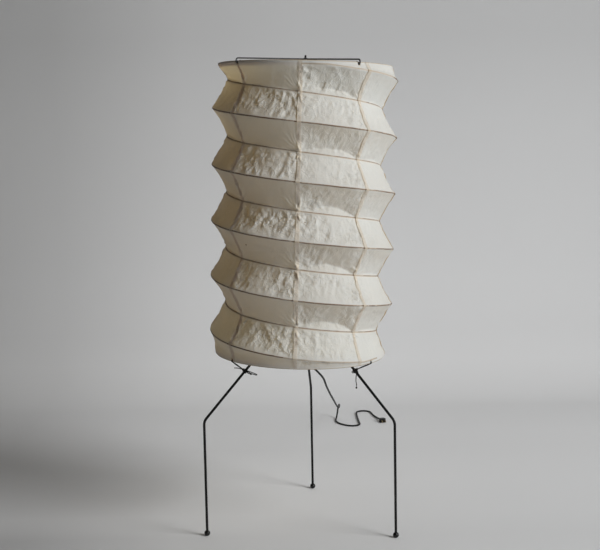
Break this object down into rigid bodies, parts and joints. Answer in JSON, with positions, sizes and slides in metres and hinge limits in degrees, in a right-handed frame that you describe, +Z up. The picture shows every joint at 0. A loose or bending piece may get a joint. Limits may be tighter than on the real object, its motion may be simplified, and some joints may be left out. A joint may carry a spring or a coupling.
{
  "type": "floor lamp",
  "caption": "Floor lamp with a tall pleated paper shade on bamboo helices, hung by two crossed wires from a stem over a tripod of bent steel rod, with bulb, switch, cord and plug.",
  "frame": {"origin": "on the floor, under the stem", "axes": "+Z up along the stem; the front, with one front leg each side, is -Y; +X to the right"},
  "size_m": [0.5896, 1.5802, 1.2874],
  "materials": {
    "stand_steel": "black satin",
    "foot": "black satin balls",
    "grub_steel": "blackened steel",
    "holder_brass": "satin",
    "contact_brass": "plain",
    "porcelain": "glazed",
    "bulb_glass": "opal white",
    "bulb_cap": "rolled",
    "knob": "moulded",
    "cord_jacket": "matte black",
    "plug_body": "moulded black",
    "tie_string": "black twisted string",
    "bar_wire": "drawn wire",
    "end_ring": "dark split cane",
    "bamboo": "dark bamboo strip",
    "washi": "mulberry paper, crinkled"
  },
  "bodies": {
    "root": {"leg_front_left": "stand_steel", "leg_front_right": "stand_steel", "leg_rear": "stand_steel", "foot_front_left": "foot", "foot_front_right": "foot", "foot_rear": "foot", "hub": "stand_steel", "hub_grub_screws": "grub_steel", "stem": "stand_steel", "holder_bracket": "stand_steel", "threaded_tube": "holder_brass", "tube_nut": "holder_brass", "holder_cap": "holder_brass", "holder_block": "porcelain", "holder_shell": "holder_brass", "screw_shell": "contact_brass", "centre_contact": "contact_brass", "cord_strain_relief": "cord_jacket", "cord_inner": "cord_jacket", "cord_free": "cord_jacket", "plug_body": "plug_body", "plug_blades": "contact_brass", "tie_knot_left": "tie_string", "tie_knot_right": "tie_string", "tie_knot_rear": "tie_string"},
    "switch": {"switch_knob": "knob"},
    "bulb": {"bulb_glass": "bulb_glass", "bulb_cap": "bulb_cap"},
    "shade": {"crossbar": "bar_wire", "top_ring": "end_ring", "ridge_rib": "bamboo", "valley_rib": "bamboo", "paper_gore_1": "washi", "paper_gore_2": "washi", "paper_gore_3": "washi", "paper_gore_4": "washi", "paper_gore_5": "washi", "paper_gore_6": "washi", "paper_gore_7": "washi", "paper_gore_8": "washi"},
    "lower_ring": {"bottom_ring": "end_ring", "tie_string_left": "tie_string", "tie_string_right": "tie_string", "tie_string_rear": "tie_string"}
  },
  "joints": [
    {"name": "shade_lift", "type": "slide", "parent": "root", "child": "shade", "axis": [0.0366, -0.0227, 0.9991], "range_m": [0, 0.85]},
    {"name": "shade_fold", "type": "slide", "parent": "shade", "child": "lower_ring", "axis": [0.0366, -0.0227, 0.9991], "range_m": [0, 0.6], "deforming": ["ridge_rib", "valley_rib", "paper_gore_1", "paper_gore_2", "paper_gore_3", "paper_gore_4", "paper_gore_5", "paper_gore_6", "paper_gore_7", "paper_gore_8"]},
    {"name": "bulb_unscrew", "type": "slide", "parent": "root", "child": "bulb", "axis": [0, 0, 1], "range_m": [0, 0.035]},
    {"name": "switch_turn", "type": "hinge", "parent": "root", "child": "switch", "pos_m": [-0.02944, 0.0327, 0.6428], "axis": [-0.6691, 0.7431, 0], "continuous": true}
  ]
}
